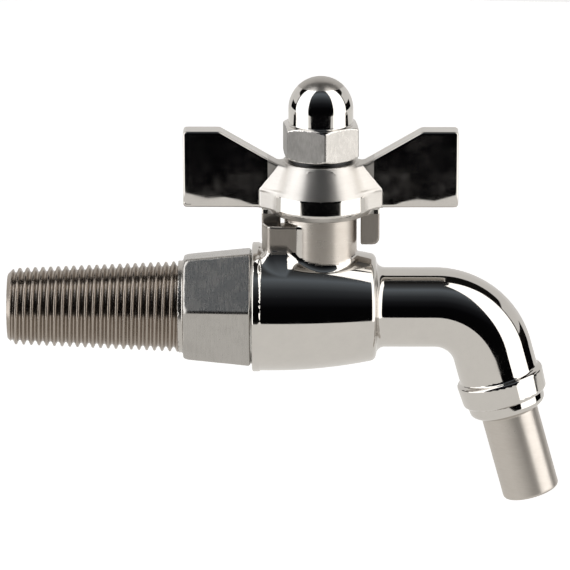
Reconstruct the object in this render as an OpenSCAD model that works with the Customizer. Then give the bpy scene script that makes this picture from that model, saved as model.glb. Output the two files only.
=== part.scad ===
// Barrel ball valve: a quarter-turn tap for a cask, cast and turned in stainless steel.
// X is the flow axis, Z the stem's direction. The origin lies on the flow axis, where the
// taper thread ends at the hexagon. All sizes are in millimetres.

/* [Flow passage] */
// Radius of the bore through the tail
bore_r = 6; // [5:0.1:6.4]
// Radius of the ball
ball_r = 10; // [9.6:0.1:10.2]
// Radius of the bore through the ball
ball_bore_r = 5.6; // [5:0.1:5.8]
// Radius of the cast passage in the spout
spout_bore_r = 6.4; // [5.4:0.1:6.7]

/* [Barrel tail] */
// Length of the taper thread with its plain shoulder
thread_len = 41.4; // [30:0.1:48]
// Pitch of the taper thread
thread_pitch = 1.814; // [1.2:0.001:2.2]
// Depth of the taper thread
thread_depth = 1.05; // [0.6:0.01:1.16]
// Crest radius at the small end of the thread
thread_small_r = 8.95; // [8.5:0.05:9.6]
// Crest radius at the large end of the thread
thread_large_r = 10.75; // [10.2:0.05:11.4]
// Width of the plain shoulder between the thread and the hexagon
shoulder_w = 1.2; // [0.6:0.1:2]
// Length of the hexagon
hex_len = 15.9; // [12:0.1:20]
// Angle by which each flat of the hexagon leans in towards the thread
hex_draft = 5.4; // [2:0.1:6]
// Angle of the hexagon's front corner above the horizontal
hex_turn = 10; // [0:1:59]
// Length of the threaded spigot that screws into the body
spigot_len = 5.7; // [5:0.1:7]
// Thickness of the gasket between the hexagon and the body
gasket_t = 0.4; // [0.3:0.05:0.8]
// Width of the gasket's ring
gasket_w = 1.8; // [1:0.1:2.2]

/* [Body] */
// Radius of the barrel at its widest
body_r = 15.05; // [14.6:0.05:16]
// Radius of the arc along which the barrel narrows to the spout
barrel_arc_r = 120; // [100:1:200]
// Width of the raised rim round the body's mouth
rim_w = 1.7; // [1:0.1:3]
// Height of the raised rim above the barrel
rim_h = 0.25; // [0.1:0.05:0.5]
// Thickness of the barrel's end wall behind the outlet seat
end_wall = 2.8; // [2.4:0.1:4]
// Radius of the barrel's rounded end edge
end_round = 1.2; // [0.8:0.1:1.5]
// Radius of the fillet between the barrel and the spout
end_fillet = 2; // [1:0.1:2.2]
// Outer radius of the neck
neck_r = 8.5; // [8.3:0.05:9]

/* [Spout] */
// Outer radius of the spout tube
tube_r = 9.4; // [9.2:0.05:9.8]
// Straight length between the barrel and the bend
spout_run = 13.8; // [8:0.1:25]
// Radius of the bend's centre line
bend_r = 14.2; // [12:0.1:20]
// Angle of the bend
bend_angle = 74.5; // [45:0.5:90]
// Length of the spout's leg below the bend
leg_len = 11.9; // [11:0.1:20]
// Radius of the bead round the spout's end
bead_r = 10.4; // [10:0.05:11]
// Length of the bead
bead_len = 5.7; // [4:0.1:7]

/* [Nozzle] */
// Outer radius of the hose spigot
spigot_r = 6.75; // [6.4:0.05:6.9]
// Radius of the bore through the nozzle
nozzle_bore_r = 5.2; // [4.8:0.1:5.4]
// Length of the hose spigot below its flange
nozzle_len = 21; // [15:0.1:40]
// Radius of the nozzle's flange
flange_r = 9.1; // [8.8:0.05:9.6]
// Length of the nozzle's flange
flange_len = 3.4; // [2.6:0.1:4.5]
// Radius of the thread that holds the nozzle in the spout
nozzle_thread_r = 7.8; // [7.6:0.05:8]
// Length of the thread that holds the nozzle in the spout
nozzle_thread_len = 5.5; // [4:0.1:5.8]

/* [Stem and packing] */
// Radius of the stem
stem_r = 5; // [4.6:0.05:5.1]
// Height of the stem's collar
collar_h = 1.6; // [1.2:0.1:2]
// Thickness of the stem's tang
tang_t = 4; // [3:0.1:5]
// Distance across the two flats of the stem's upper end
stem_flat_af = 8; // [7:0.1:8.6]
// Radius of the packing chamber
chamber_r = 7; // [6.9:0.05:7.1]
// Height of each packing ring
packing_h = 1.6; // [1.4:0.1:1.8]
// Thickness of each disc spring's metal
disc_t = 0.45; // [0.35:0.05:0.6]
// Dish of each disc spring
disc_dish = 0.3; // [0.2:0.05:0.4]
// Height of the gland nut
gland_nut_h = 2.3; // [2:0.1:3]

/* [Handle] */
// Distance from the stem's axis to the tip of a wing
wing_reach = 32.2; // [28:0.1:40]
// Thickness of a wing
wing_t = 5.6; // [4:0.1:6.5]
// Height of a wing at its tip
wing_tip_h = 18.3; // [14:0.1:22]
// Length of the level top edge at a wing's tip
wing_flat = 8.6; // [5:0.1:12]
// Radius of the hub under the dome nut
hub_top_r = 8.8; // [8.6:0.1:9.6]
// Radius of the hub at its ridge
hub_ridge_r = 12.3; // [12:0.1:13]
// Radius of the hub at its lower edge
hub_low_r = 11.4; // [11:0.1:12]
// Height of the hub
hub_h = 12.5; // [12:0.1:15]
// Radial position of the outer face of a stop tab
tab_reach = 13.8; // [13.2:0.1:14]
// Width of a stop tab
tab_w = 4.6; // [3.6:0.1:5.4]
// Length of a stop tab below the hub
tab_len = 7.6; // [5:0.1:7.8]

/* [Dome nut] */
// Distance across the dome nut's flats
nut_af = 16.8; // [16:0.1:17.4]
// Height of the dome nut's hexagon
nut_h = 8; // [6:0.1:9]
// Radius of the dome
dome_r = 7.6; // [7.2:0.05:8]
// Height of the dome nut's cylinder between the hexagon and the round top
dome_rise = 3.4; // [2:0.1:5]
// Angle by which the dome nut's corner is turned from the front
nut_turn = 6.6; // [0:0.1:59]

/* [Hidden] */

$fn = 64;

// Clearances
run_gap = 0.05;      // between a turning shaft and its ring
seat_gap = 0.1;      // between the ball and its seats
screw_gap = 0.1;     // between a male and a female thread
hang_gap = 0.4;      // between the handle and the neck
stop_gap = 0.3;      // between a stop tab and its lug
eps = 0.5;           // overshoot of every cut

// Places along the flow axis
mouth_x = hex_len + gasket_t;
seat_back_x = mouth_x + spigot_len;
seat_wall = 0.3;
stem_x = seat_back_x + ball_r + seat_wall;
pocket_x = stem_x + ball_r + seat_wall;
barrel_end_x = pocket_x + end_wall;
crown_run = 4.3;
bend_x = barrel_end_x + spout_run;

// Hexagon, as wide across its corners as the body's rim
hex_corner_r = body_r + rim_h + 0.05;
hex_large_af = hex_corner_r * sqrt(3);
hex_small_af = hex_large_af - 2 * hex_len * tan(hex_draft);

// Radii round the ball
seat_r = ball_r + 0.4;
cavity_r = seat_r + 0.2;
body_thread_r = cavity_r + 1;
seat_bore_r = bore_r + 0.5;
seat_reach = ball_r * 0.52;
gasket_bore_r = body_thread_r + run_gap;

// Heights along the stem axis
slot_floor = 1.6;
slot_z = ball_bore_r + slot_floor;
tang_z = slot_z + 0.2;
collar_z = cavity_r + 0.2;
collar_r = stem_r + 1.4;
washer_z = collar_z + collar_h;
washer_t = 0.8;
shelf_z = washer_z + washer_t;
shelf_t = 1.6;
packing_z = shelf_z + shelf_t;
gland_z = packing_z + 3 * packing_h;
gland_t = 1.2;
spring_z = gland_z + gland_t;
spring_h = disc_t + disc_dish;
gland_nut_z = spring_z + 2 * spring_h;
neck_top_z = gland_nut_z + gland_nut_h + 0.1;

// Handle, measured from the neck's top
hub_overlap = 1.3;
ridge_h = 5.3;
hub_z = neck_top_z - hub_overlap;
recess_z = neck_top_z + hang_gap;
recess_r = neck_r + hang_gap;
hub_top_z = hub_z + hub_h;
ridge_z = hub_z + ridge_h;
shoulder_z = ridge_z + 1.5;
hub_shoulder_r = hub_ridge_r - 1.2;
wing_low_z = hub_z + 1.5;
wing_top_z = wing_low_z + wing_tip_h;
root_reach = hub_ridge_r + 1.9;
wing_root_reach = hub_ridge_r - 0.4;
tab_z = hub_z - tab_len;
tab_inner_r = neck_r + 0.9;

// Dome nut
washer_lock_t = 0.9;
nut_z = hub_top_z + washer_lock_t;
dome_z = nut_z + nut_h + dome_rise;
stem_top_z = nut_z + nut_h + dome_rise + 0.6;
nut_corner_r = nut_af / sqrt(3);
nut_chamfer_r = nut_af / 2 - 0.4;
chamfer_slope = tan(30);

// Stop lugs on the body
lug_r = tab_reach + 0.3;
lug_w = 4.4;
lug_top_z = hub_z - 2;
lug_inset = tab_w / 2 + stop_gap;

// Nozzle, measured along the outlet axis from the spout's end
seal_t = 1;
nozzle_socket = nozzle_thread_len + seal_t;

// The taper thread
thread_start_x = -thread_len;
thread_run = thread_len - shoulder_w;
ridges = floor(thread_run / thread_pitch);
thread_lead = thread_run - ridges * thread_pitch;

// Crest radius of the taper thread at a place along the flow axis
function crest_at(x) =
    thread_small_r + (thread_large_r - thread_small_r) * (x - thread_start_x) / thread_len;

// Root radius of the taper thread at a place along the flow axis
function root_at(x) = crest_at(x) - thread_depth;

// Turns a profile of [radius, place] into a solid of revolution about the flow axis
module along_flow() {
    rotate([0, 90, 0]) rotate_extrude() children();
}

// Puts its children on the stem axis
module on_stem() {
    translate([stem_x, 0, 0]) children();
}

// Puts its children at the spout's end, with Z along the outlet
module at_outlet() {
    translate([bend_x, 0, -bend_r])
        rotate([0, bend_angle, 0])
            translate([0, 0, bend_r])
                rotate([0, 90, 0])
                    translate([0, 0, leg_len]) children();
}

// A flat ring that stands on its own floor
module ring(outer_r, inner_r, h) {
    difference() {
        cylinder(r = outer_r, h = h);
        translate([0, 0, -eps]) cylinder(r = inner_r, h = h + 2 * eps);
    }
}

// A shaft or hole with two opposite flats
module double_d(r, af, h) {
    intersection() {
        cylinder(r = r, h = h);
        translate([-af / 2, -r, 0]) cube([af, 2 * r, h]);
    }
}

// Outline of the tail without its hexagon: thread, shoulder and spigot
module tail_profile() {
    flat = thread_pitch / 16;
    first_x = thread_start_x + thread_lead;
    threads = [for (i = [0 : ridges - 1], k = [0 : 3])
        let (x = first_x + i * thread_pitch + [flat, 7 * flat, 9 * flat, 15 * flat][k])
        [k == 0 || k == 3 ? root_at(x) : crest_at(x), x]];
    polygon(concat(
        [[bore_r, thread_start_x], [root_at(thread_start_x) - 0.3, thread_start_x],
            [root_at(first_x), first_x - flat]],
        threads,
        [[crest_at(-shoulder_w), -shoulder_w], [crest_at(0) + 0.15, -shoulder_w + 0.2],
            [crest_at(0) + 0.15, eps],
            [body_thread_r - screw_gap - 0.8, hex_len - eps],
            [body_thread_r - screw_gap - 0.8, mouth_x],
            [body_thread_r - screw_gap, mouth_x + 0.8],
            [body_thread_r - screw_gap, seat_back_x - 0.8],
            [body_thread_r - screw_gap - 0.8, seat_back_x],
            [bore_r, seat_back_x]]));
}

// Drafted hexagon whose corners are chamfered where it meets the thread
module tail_hexagon() {
    chamfer = 1.3;
    difference() {
        rotate_extrude() polygon([[0, 0], [hex_small_af / 2 - 0.2, 0],
            [hex_small_af / sqrt(3) + 0.2, chamfer], [hex_corner_r + 1, chamfer + 1.5],
            [hex_corner_r + 1, hex_len - 1.2], [hex_corner_r - 0.4, hex_len],
            [0, hex_len]]);
        for (i = [0 : 5])
            rotate([0, 0, 60 * i + 30])
                translate([hex_small_af / 2, 0, 0])
                    rotate([0, hex_draft, 0])
                        translate([0, -hex_corner_r, -hex_len])
                            cube([hex_corner_r, 2 * hex_corner_r, 3 * hex_len]);
        translate([0, 0, -eps]) cylinder(r = bore_r + 1, h = hex_len + 2 * eps);
    }
}

module barrel_tail() {
    color("lightslategray") {
        rotate([-90 - hex_turn, 0, 0]) rotate([0, 90, 0]) tail_hexagon();
        along_flow() tail_profile();
    }
}

module tail_gasket() {
    color("whitesmoke")
        translate([hex_len, 0, 0]) rotate([0, 90, 0])
            ring(gasket_bore_r + gasket_w, gasket_bore_r, gasket_t);
}

// Outline of the cast barrel, from its mouth to the fillet at the spout
module barrel_profile() {
    arc_x = mouth_x + crown_run;
    arc_c = [body_r - barrel_arc_r, arc_x];
    round_x = barrel_end_x - end_round;
    round_r = arc_c[0] + sqrt(pow(barrel_arc_r - end_round, 2) - pow(round_x - arc_x, 2));
    lean = asin((round_x - arc_x) / (barrel_arc_r - end_round));
    tangent_x = round_x + end_round * sin(lean);
    fillet = min(end_fillet, round_r - tube_r);
    // rim round the mouth
    translate([0, mouth_x]) square([body_r + rim_h - 0.3, rim_w]);
    translate([0, mouth_x + 0.3]) square([body_r + rim_h, rim_w - 0.6]);
    // long arc of the barrel
    intersection() {
        translate(arc_c) circle(r = barrel_arc_r, $fn = 360);
        translate([0, mouth_x]) square([body_r, tangent_x - mouth_x]);
    }
    // rounded end
    translate([round_r, round_x]) circle(r = end_round);
    translate([0, round_x]) square([round_r, end_round]);
    // fillet to the spout
    difference() {
        translate([0, barrel_end_x - eps]) square([tube_r + fillet, fillet + eps]);
        translate([tube_r + fillet, barrel_end_x + fillet]) circle(r = fillet);
    }
}

// The spout: straight run, bend, leg and the bead at its end
module spout_outside() {
    rotate([0, 90, 0]) translate([0, 0, barrel_end_x - eps]) {
        cylinder(r = tube_r, h = spout_run + eps);
        // core that carries the straight run into the bend
        cylinder(r = tube_r - 1, h = spout_run + 2 * eps + 0.5);
    }
    translate([bend_x, 0, -bend_r]) rotate([90, 0, 0]) rotate([0, 0, 90 - bend_angle])
        rotate_extrude(angle = bend_angle) translate([bend_r, 0]) circle(r = tube_r);
    at_outlet() {
        translate([0, 0, -leg_len]) cylinder(r = tube_r, h = leg_len);
        rotate_extrude() bead_profile();
    }
}

// Outline of the bead, with a rounded upper lip and a slight taper
module bead_profile() {
    lip = 0.8;
    translate([0, -bead_len]) square([bead_r - lip, bead_len]);
    translate([bead_r - lip, lip - bead_len]) circle(r = lip);
    polygon([[0, lip - bead_len], [bead_r, lip - bead_len], [bead_r - 0.35, -0.5],
        [bead_r - 0.85, 0], [0, 0]]);
}

module spout_inside() {
    rotate([0, 90, 0]) translate([0, 0, pocket_x - eps])
        cylinder(r = spout_bore_r, h = end_wall + spout_run + eps);
    translate([bend_x, 0, -bend_r]) rotate([90, 0, 0]) rotate([0, 0, 90 - bend_angle])
        rotate_extrude(angle = bend_angle) translate([bend_r, 0]) circle(r = spout_bore_r);
    at_outlet() {
        translate([0, 0, -leg_len]) cylinder(r = spout_bore_r, h = leg_len + eps);
        translate([0, 0, -nozzle_socket])
            cylinder(r = nozzle_thread_r + screw_gap, h = nozzle_socket + eps);
    }
}

// A stop lug beside the path of a tab, on the -X side of the neck
module stop_lug() {
    intersection() {
        cylinder(r = lug_r, h = lug_top_z);
        translate([-lug_r, -lug_inset - lug_w, 0]) cube([lug_r, lug_w, lug_top_z]);
    }
}

module valve_body() {
    color("silver") difference() {
        union() {
            along_flow() barrel_profile();
            spout_outside();
            on_stem() {
                cylinder(r = neck_r, h = neck_top_z);
                stop_lug();
                rotate([0, 0, -90]) mirror([0, 1, 0]) stop_lug();
            }
        }
        // ball chamber, with the thread for the tail in front of it
        rotate([0, 90, 0]) translate([0, 0, mouth_x - eps])
            cylinder(r = body_thread_r, h = spigot_len + eps);
        rotate([0, 90, 0]) translate([0, 0, mouth_x])
            cylinder(r = cavity_r, h = pocket_x - mouth_x);
        spout_inside();
        // pocket of the stem's collar, stem hole and packing chamber
        on_stem() {
            cylinder(r = collar_r + screw_gap, h = shelf_z);
            cylinder(r = stem_r + 2 * run_gap, h = neck_top_z);
            translate([0, 0, packing_z])
                cylinder(r = chamber_r, h = neck_top_z - packing_z + eps);
        }
    }
}

// A seat ring whose inner edge is the ball's own sphere, at a place beside the ball
module seat(side) {
    width = ball_r + seat_wall - seat_reach;
    difference() {
        translate([stem_x + (side < 0 ? -ball_r - seat_wall : seat_reach), 0, 0])
            rotate([0, 90, 0]) ring(seat_r, seat_bore_r, width);
        on_stem() sphere(r = ball_r + seat_gap);
    }
}

module inlet_seat() {
    color("whitesmoke") seat(-1);
}

module outlet_seat() {
    color("whitesmoke") seat(1);
}

module ball() {
    color("lightsteelblue") on_stem() difference() {
        sphere(r = ball_r);
        rotate([0, 90, 0]) cylinder(r = ball_bore_r, h = 2 * ball_r + 2, center = true);
        translate([-tang_t / 2 - run_gap, -ball_r, slot_z])
            cube([tang_t + 2 * run_gap, 2 * ball_r, ball_r]);
    }
}

module stem() {
    color("lightsteelblue") on_stem() {
        // tang milled from the stem's own round bar, short enough to turn between the seats
        translate([0, 0, tang_z]) double_d(stem_r, tang_t, collar_z - tang_z + 0.4);
        translate([0, 0, collar_z]) cylinder(r = collar_r, h = collar_h);
        translate([0, 0, collar_z]) cylinder(r = stem_r, h = recess_z - collar_z);
        translate([0, 0, recess_z - 0.1]) intersection() {
            double_d(stem_r, stem_flat_af, stem_top_z - recess_z + 0.1);
            rotate_extrude() polygon([[0, 0], [stem_r, 0],
                [stem_r, stem_top_z - recess_z - 0.9],
                [stem_r - 1, stem_top_z - recess_z + 0.1],
                [0, stem_top_z - recess_z + 0.1]]);
        }
    }
}

module thrust_washer() {
    color("whitesmoke") on_stem() translate([0, 0, washer_z])
        ring(collar_r, stem_r + run_gap, washer_t);
}

// A chevron packing ring: a V above, a V below, or both
module chevron(vee_below, vee_above) {
    inner = stem_r + run_gap;
    outer = chamber_r - run_gap;
    middle = (inner + outer) / 2;
    vee = 0.5;
    translate([0, 0, packing_z]) rotate_extrude() polygon([
        [inner, 0], [middle, vee_below ? vee : 0], [outer, 0],
        [outer, packing_h], [middle, packing_h + (vee_above ? vee : 0)],
        [inner, packing_h]]);
}

module lower_packing_ring() {
    color("white") on_stem() chevron(false, true);
}

module middle_packing_ring() {
    color("white") on_stem() translate([0, 0, packing_h]) chevron(true, true);
}

module upper_packing_ring() {
    color("white") on_stem() translate([0, 0, 2 * packing_h]) chevron(true, false);
}

module gland_ring() {
    color("silver") on_stem() translate([0, 0, gland_z])
        ring(chamber_r - run_gap, stem_r + run_gap, gland_t);
}

// A dished spring ring with its inner edge raised
module disc_spring() {
    inner = stem_r + 0.15;
    outer = chamber_r - 0.1;
    rotate_extrude() polygon([[outer, 0], [outer, disc_t], [inner, disc_t + disc_dish],
        [inner, disc_dish]]);
}

module lower_disc_spring() {
    color("gray") on_stem() translate([0, 0, spring_z]) disc_spring();
}

module upper_disc_spring() {
    color("gray") on_stem() translate([0, 0, spring_z + 2 * spring_h])
        mirror([0, 0, 1]) disc_spring();
}

module gland_nut() {
    slot_w = 1.6;
    slot_d = 1;
    color("silver") on_stem() translate([0, 0, gland_nut_z]) difference() {
        ring(chamber_r - run_gap, stem_r + 2 * run_gap, gland_nut_h);
        translate([-chamber_r - eps, -slot_w / 2, gland_nut_h - slot_d])
            cube([2 * chamber_r + 2 * eps, slot_w, slot_d + eps]);
    }
}

// Outline of the handle's hub: rounded lower edge, ridge, flare and cone
module hub_profile() {
    low_round = 0.8;
    translate([hub_low_r - low_round, hub_z + low_round]) circle(r = low_round);
    translate([0, hub_z]) square([hub_low_r - low_round, 2 * low_round]);
    polygon([[0, hub_z + low_round], [hub_low_r, hub_z + low_round],
        [hub_ridge_r - 0.25, ridge_z - 0.5], [hub_ridge_r, ridge_z],
        [hub_ridge_r - 0.35, ridge_z + 0.35], [hub_shoulder_r, shoulder_z],
        [hub_top_r, hub_top_z - 0.2], [hub_top_r - 0.2, hub_top_z], [0, hub_top_z]]);
}

// Outline of the two wings, seen from the front
module wings_profile() {
    corner = 0.8;
    slope_low = [wing_root_reach, hub_top_z - 0.5];
    slope_top = [wing_reach - wing_flat, wing_top_z];
    for (side = [0, 1]) mirror([side, 0]) {
        polygon([[0, wing_low_z], [wing_reach - corner, wing_low_z],
            [wing_reach, wing_low_z + corner], [wing_reach, wing_top_z - corner],
            [wing_reach - corner, wing_top_z], slope_top, slope_low,
            [hub_top_r - 1, hub_top_z - 1], [0, hub_top_z - 1]]);
        translate([wing_reach - corner, wing_low_z + corner]) circle(r = corner, $fn = 24);
        translate([wing_reach - corner, wing_top_z - corner]) circle(r = corner, $fn = 24);
    }
}

// The flat facets by which the wings grow out of the hub, at one height
module root_section(hub_r, reach) {
    half_t = wing_t / 2;
    bearing = atan2(half_t, reach);
    touch = bearing + acos(hub_r / sqrt(reach * reach + half_t * half_t));
    points = [[reach, half_t], [hub_r * cos(touch), hub_r * sin(touch)]];
    polygon([points[0], points[1], [-points[1][0], points[1][1]], [-reach, half_t],
        [-reach, -half_t], [-points[1][0], -points[1][1]], [points[1][0], -points[1][1]],
        [reach, -half_t]]);
}

module wing_roots() {
    low_z = wing_low_z;
    translate([0, 0, low_z]) linear_extrude(ridge_z + 1 - low_z)
        root_section(hub_low_r + 0.3, root_reach);
    hull() {
        translate([0, 0, ridge_z + 1]) linear_extrude(0.01)
            root_section(hub_shoulder_r, root_reach);
        translate([0, 0, hub_top_z - 0.6]) linear_extrude(0.01)
            root_section(hub_top_r, hub_top_r + 1);
    }
}

// The two tabs that meet the body's lugs, with rounded lower outer corners
module stop_tabs() {
    corner = 1.6;
    for (side = [0, 1]) mirror([side, 0, 0])
        translate([0, tab_w / 2, 0]) rotate([90, 0, 0]) linear_extrude(tab_w) {
            translate([tab_inner_r, tab_z])
                square([tab_reach - corner - tab_inner_r, ridge_z - tab_z]);
            translate([tab_inner_r, tab_z + corner])
                square([tab_reach - tab_inner_r, ridge_z - tab_z - corner]);
            translate([tab_reach - corner, tab_z + corner]) circle(r = corner);
        }
}

module handle() {
    color("gainsboro") on_stem() difference() {
        union() {
            rotate_extrude() hub_profile();
            translate([0, wing_t / 2, 0]) rotate([90, 0, 0]) linear_extrude(wing_t)
                wings_profile();
            wing_roots();
            stop_tabs();
        }
        // recess over the neck, and the hole for the stem's flats
        translate([0, 0, tab_z - eps]) cylinder(r = recess_r, h = recess_z - tab_z + eps);
        translate([0, 0, recess_z - eps])
            double_d(stem_r + run_gap, stem_flat_af + 2 * run_gap, hub_h + 2 * eps);
    }
}

module lock_washer() {
    split = 1.2;
    color("gray") on_stem() translate([0, 0, hub_top_z]) difference() {
        ring(nut_chamfer_r - 0.4, stem_r + 0.2, washer_lock_t);
        translate([-split / 2, 0, -eps])
            cube([split, nut_af, washer_lock_t + 2 * eps]);
    }
}

module dome_nut() {
    hole_r = stem_r + run_gap;
    color("gainsboro") on_stem() translate([0, 0, nut_z]) difference() {
        union() {
            intersection() {
                rotate([0, 0, nut_turn - 90])
                    cylinder(r = nut_corner_r, h = nut_h, $fn = 6);
                rotate_extrude() polygon([[0, 0], [nut_chamfer_r, 0],
                    [nut_corner_r + 0.2, (nut_corner_r + 0.2 - nut_chamfer_r) * chamfer_slope],
                    [nut_corner_r + 0.2,
                        nut_h - (nut_corner_r + 0.2 - nut_chamfer_r) * chamfer_slope],
                    [nut_chamfer_r, nut_h], [0, nut_h]]);
            }
            cylinder(r = dome_r, h = dome_z - nut_z);
            translate([0, 0, dome_z - nut_z]) sphere(r = dome_r);
        }
        // blind threaded hole with the drill's cone at its end
        translate([0, 0, -eps]) cylinder(r = hole_r, h = stem_top_z - nut_z + 1 + eps);
        translate([0, 0, stem_top_z - nut_z + 1]) cylinder(r1 = hole_r, r2 = 0, h = 2);
    }
}

// Outline of the nozzle: thread, rounded flange and hose spigot
module nozzle_profile() {
    tip = 0.9;
    bulge = flange_len - 1.2;
    spigot_end = flange_len + nozzle_len;
    translate([nozzle_bore_r, -nozzle_thread_len])
        square([nozzle_thread_r - nozzle_bore_r, nozzle_thread_len + 0.2]);
    polygon([[nozzle_bore_r, 0], [flange_r - 0.3, 0], [flange_r, 0.3], [flange_r, 1.2],
        [nozzle_bore_r, 1.2]]);
    intersection() {
        translate([flange_r - bulge, 1.2]) circle(r = bulge);
        translate([nozzle_bore_r, 1.1]) square([flange_r, bulge + 0.1]);
    }
    translate([nozzle_bore_r, 0]) square([flange_r - bulge - nozzle_bore_r, flange_len]);
    translate([nozzle_bore_r, 0]) square([spigot_r - nozzle_bore_r, spigot_end - tip]);
    translate([nozzle_bore_r, 0]) square([spigot_r - tip - nozzle_bore_r, spigot_end]);
    translate([spigot_r - tip, spigot_end - tip]) circle(r = tip);
}

module nozzle() {
    color("darkgray") at_outlet() rotate_extrude() nozzle_profile();
}

module nozzle_seal() {
    color("dimgray") at_outlet() translate([0, 0, -nozzle_socket])
        ring(nozzle_thread_r, spout_bore_r, seal_t);
}

barrel_tail();
tail_gasket();
valve_body();
inlet_seat();
outlet_seat();
ball();
stem();
thrust_washer();
lower_packing_ring();
middle_packing_ring();
upper_packing_ring();
gland_ring();
lower_disc_spring();
upper_disc_spring();
gland_nut();
handle();
lock_washer();
dome_nut();
nozzle();
nozzle_seal();
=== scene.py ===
import math

import bpy
import numpy as np
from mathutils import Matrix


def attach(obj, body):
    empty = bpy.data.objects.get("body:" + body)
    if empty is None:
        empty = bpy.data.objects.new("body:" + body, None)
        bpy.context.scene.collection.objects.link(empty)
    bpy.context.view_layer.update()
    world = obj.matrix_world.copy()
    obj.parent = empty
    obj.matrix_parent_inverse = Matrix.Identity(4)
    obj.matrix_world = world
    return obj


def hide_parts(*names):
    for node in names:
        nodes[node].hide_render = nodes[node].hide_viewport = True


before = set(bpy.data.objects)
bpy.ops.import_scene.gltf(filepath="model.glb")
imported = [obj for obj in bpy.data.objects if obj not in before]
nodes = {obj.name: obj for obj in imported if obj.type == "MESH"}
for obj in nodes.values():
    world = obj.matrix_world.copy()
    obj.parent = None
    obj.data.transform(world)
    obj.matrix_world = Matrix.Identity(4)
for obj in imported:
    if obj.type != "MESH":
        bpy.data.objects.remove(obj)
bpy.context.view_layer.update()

# Valve body
# The body is one investment casting in stainless steel: ball housing, neck, stop lugs and
# bent spout. Its outside is mirror polished by hand, the neck is turned to a satin, and the
# seat, thread and packing bores are machined.

MM = 0.001
MOUTH_X = 16.3           # where the body begins, behind the tail's hexagon
CROWN_X = 20.6           # where the barrel is widest
BARREL_R = 15.05
BARREL_ARC = 120.0
BARREL_END_X = 45.4
RIM_R = 15.29
RIM_W = 1.7
STEM_X = 32.3
NECK_R = 8.5
NECK_TOP = 24.7
TUBE_R = 9.4
BORE_R = 6.4
POCKET_X = 42.6
BEND_X = 59.2
BEND_R = 14.2
BEND_ANGLE = math.radians(74.5)
LEG = 11.9
BEAD_R = 10.4
BEAD_LEN = 5.7
LUG_R = 14.1
LUG_NEAR = 2.6           # from the flow axis to the face that a stop tab meets
LUG_FAR = 7.0
LUG_TOP = 21.4

# the outlet's direction, and the end of the bend on the spout's centre line
OUT_X, OUT_Z = math.cos(BEND_ANGLE), -math.sin(BEND_ANGLE)
BEND_END_X = BEND_X + BEND_R * math.sin(BEND_ANGLE)
BEND_END_Z = BEND_R * math.cos(BEND_ANGLE) - BEND_R


def common(a, b, radius):
    """Where two bodies overlap, with their shared edge rounded."""
    u, v = np.maximum(a + radius, 0), np.maximum(b + radius, 0)
    return np.minimum(np.maximum(a, b), -radius) + np.hypot(u, v)


def joined(a, b, radius):
    """Two bodies cast as one, with a fillet of that radius between them."""
    u, v = np.maximum(radius - a, 0), np.maximum(radius - b, 0)
    return np.maximum(np.minimum(a, b), radius) - np.hypot(u, v)


def spout_line(x, y, z):
    """Distance from the spout's centre line, and the way gone past the end of the bend."""
    past_x, past_z = x - BEND_END_X, z - BEND_END_Z
    along = past_x * OUT_X + past_z * OUT_Z
    leg = np.hypot(y, past_z * OUT_X - past_x * OUT_Z)
    bend = np.hypot(y, np.hypot(x - BEND_X, z + BEND_R) - BEND_R)
    return np.where(x < BEND_X, np.hypot(y, z), np.where(along > 0, leg, bend)), along


def stop_lug(across, out, z):
    """A lug that stands on the barrel beside the path of a stop tab."""
    side = common(across - LUG_FAR, LUG_NEAR - across, 0.5)
    reach = common(np.hypot(across, out) - LUG_R, 2.0 - out, 0.6)
    return common(common(side, reach, 0.6), z - LUG_TOP, 0.5)


def body_field(x, y, z):
    round_x = np.hypot(y, z)
    crown = np.hypot(x - CROWN_X, round_x - BARREL_R + BARREL_ARC) - BARREL_ARC
    barrel = common(common(crown, x - BARREL_END_X, 1.2), MOUTH_X - x, 0.2)
    rim = common(common(round_x - RIM_R, MOUTH_X - x, 0.35), x - MOUTH_X - RIM_W, 0.3)
    barrel = joined(barrel, rim, 0.35)

    line, along = spout_line(x, y, z)
    past = along - LEG
    tube = np.maximum(np.maximum(line - TUBE_R, past), 30 - x)
    bead = common(line - BEAD_R - 0.06 * np.minimum(-past - BEAD_LEN, 0), past, 0.7)
    bead = common(bead, -past - BEAD_LEN, 0.8)
    cast = joined(barrel, joined(tube, bead, 0.5), 2.0)

    from_stem = np.hypot(x - STEM_X, y)
    neck = common(common(from_stem - NECK_R, z - NECK_TOP, 0.4), 5 - z, 0.4)
    near_lug = common(stop_lug(-y, STEM_X - x, z), 5 - z, 0.4)
    far_lug = common(stop_lug(x - STEM_X, y, z), 5 - z, 0.4)
    neck = joined(joined(neck, near_lug, 0.7), far_lug, 0.7)
    # the near lug stands on a wide foot, the neck meets the barrel more sharply
    foot = np.clip((-y - 5) / 2.5, 0, 1) * np.clip((STEM_X - x - 5) / 3, 0, 1)
    cast = joined(cast, neck, 0.9 + 3.1 * foot)

    # machined bores
    cut = np.minimum(np.maximum(round_x - 11.6, x - 22.0), round_x - 10.6)
    cut = np.maximum(cut, x - POCKET_X)
    cut = np.minimum(cut, np.maximum(line - BORE_R, 40 - x))
    cut = np.minimum(cut, np.maximum(line - 7.9, np.maximum(-past - 6.5, 60 - x)))
    packing = np.maximum(from_stem - 7.0, 14.8 - z)
    collar = np.maximum(from_stem - 6.5, z - 13.2)
    stem_hole = np.minimum(np.minimum(packing, collar), from_stem - 5.1)
    cut = np.minimum(cut, np.maximum(stem_hole, -z))
    return np.maximum(cast, -cut)


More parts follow.
